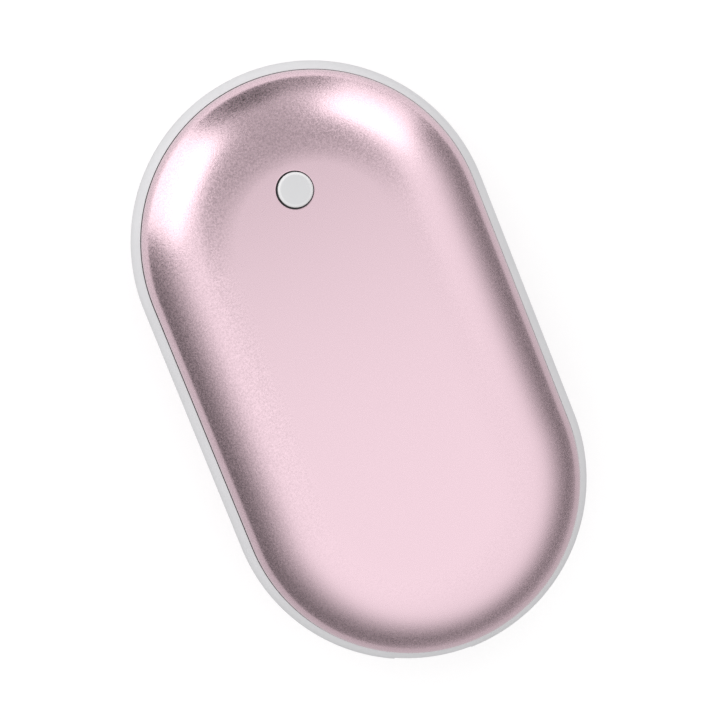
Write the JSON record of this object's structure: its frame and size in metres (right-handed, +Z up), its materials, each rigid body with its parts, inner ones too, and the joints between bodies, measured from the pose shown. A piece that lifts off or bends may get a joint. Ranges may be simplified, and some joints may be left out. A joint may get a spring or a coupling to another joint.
{
  "type": "rechargeable hand warmer",
  "caption": "Pill-shaped pocket hand warmer: domed aluminium shells on a pale plastic band, with a push button on its face, and an output socket, charging inlet and charge lights in the band.",
  "frame": {"origin": "middle of the flat rear face, on the surface the warmer lies on", "axes": "+Z up through the button face, +Y along the length towards the button end, +X to the right"},
  "size_m": [0.0584, 0.1, 0.0254],
  "materials": {
    "anodised_aluminium": "bead-blasted and anodised rose gold, satin",
    "band_plastic": "pale moulded plastic, satin",
    "button_plastic": "white moulded plastic, satin",
    "liner_plastic": "dark moulded plastic, fine texture",
    "bond_tape": "double-sided tape, matt",
    "circuit_board": "green solder mask, gloss",
    "steel": "plated steel, fine brushing",
    "black_moulding": "black moulding compound, matt",
    "white_moulding": "white moulding, satin",
    "heater_film": "amber film over etched foil, gloss",
    "foam": "closed-cell foam, matt",
    "cell_pouch": "laminated foil pouch, satin",
    "contact_metal": "gold-plated contacts, polished",
    "ferrite": "sintered ferrite, matt",
    "chip_ceramic": "tan ceramic, matt",
    "light_emitter": "milky moulded lens, gloss",
    "clear_rod": "clear moulded plastic, polished ends",
    "wire_red": "red insulation, satin",
    "wire_white": "white insulation, satin",
    "wire_yellow": "yellow insulation, satin"
  },
  "bodies": {
    "case": {"front_shell": "anodised_aluminium", "rear_shell": "anodised_aluminium", "mid_band": "band_plastic", "front_liner": "liner_plastic", "rear_liner": "liner_plastic", "front_bond_tape": "bond_tape", "rear_bond_tape": "bond_tape", "button_board": "circuit_board", "button_board_screws": "steel", "switch_base": "black_moulding", "switch_cover": "steel", "switch_dome": "steel", "front_heater": "heater_film", "rear_heater": "heater_film", "front_heat_pad": "foam", "rear_heat_pad": "foam", "heater_thermistors": "black_moulding", "battery_cell": "cell_pouch", "battery_tabs": "steel", "battery_board": "circuit_board", "battery_board_chips": "black_moulding", "battery_tape": "bond_tape", "battery_foam": "foam", "control_board": "circuit_board", "board_screws": "steel", "case_screws": "steel", "usb_a_shell": "steel", "usb_a_tongue": "white_moulding", "usb_a_contacts": "contact_metal", "micro_usb_shell": "steel", "micro_usb_tongue": "black_moulding", "micro_usb_contacts": "contact_metal", "indicator_leds": "light_emitter", "light_pipe": "clear_rod", "boost_inductor": "ferrite", "power_chip": "black_moulding", "control_chip": "black_moulding", "board_capacitors": "chip_ceramic", "board_resistors": "black_moulding", "battery_leads": "wire_red", "front_heater_leads": "wire_white", "rear_heater_leads": "wire_white", "switch_leads": "wire_yellow"},
    "button": {"power_button": "button_plastic"},
    "plunger": {"switch_plunger": "black_moulding"}
  },
  "joints": [
    {"name": "button_press", "type": "slide", "parent": "case", "child": "button", "axis": [0, 0, -1], "range_m": [0, 0.0003], "stiffness_N_per_m": 5000},
    {"name": "plunger_press", "type": "slide", "parent": "case", "child": "plunger", "axis": [0, 0, -1], "range_m": [0, 0.0003], "deforming": ["switch_dome"]}
  ],
  "couplings": [
    {"joint": "plunger_press", "follows": "button_press", "ratio": 1}
  ]
}
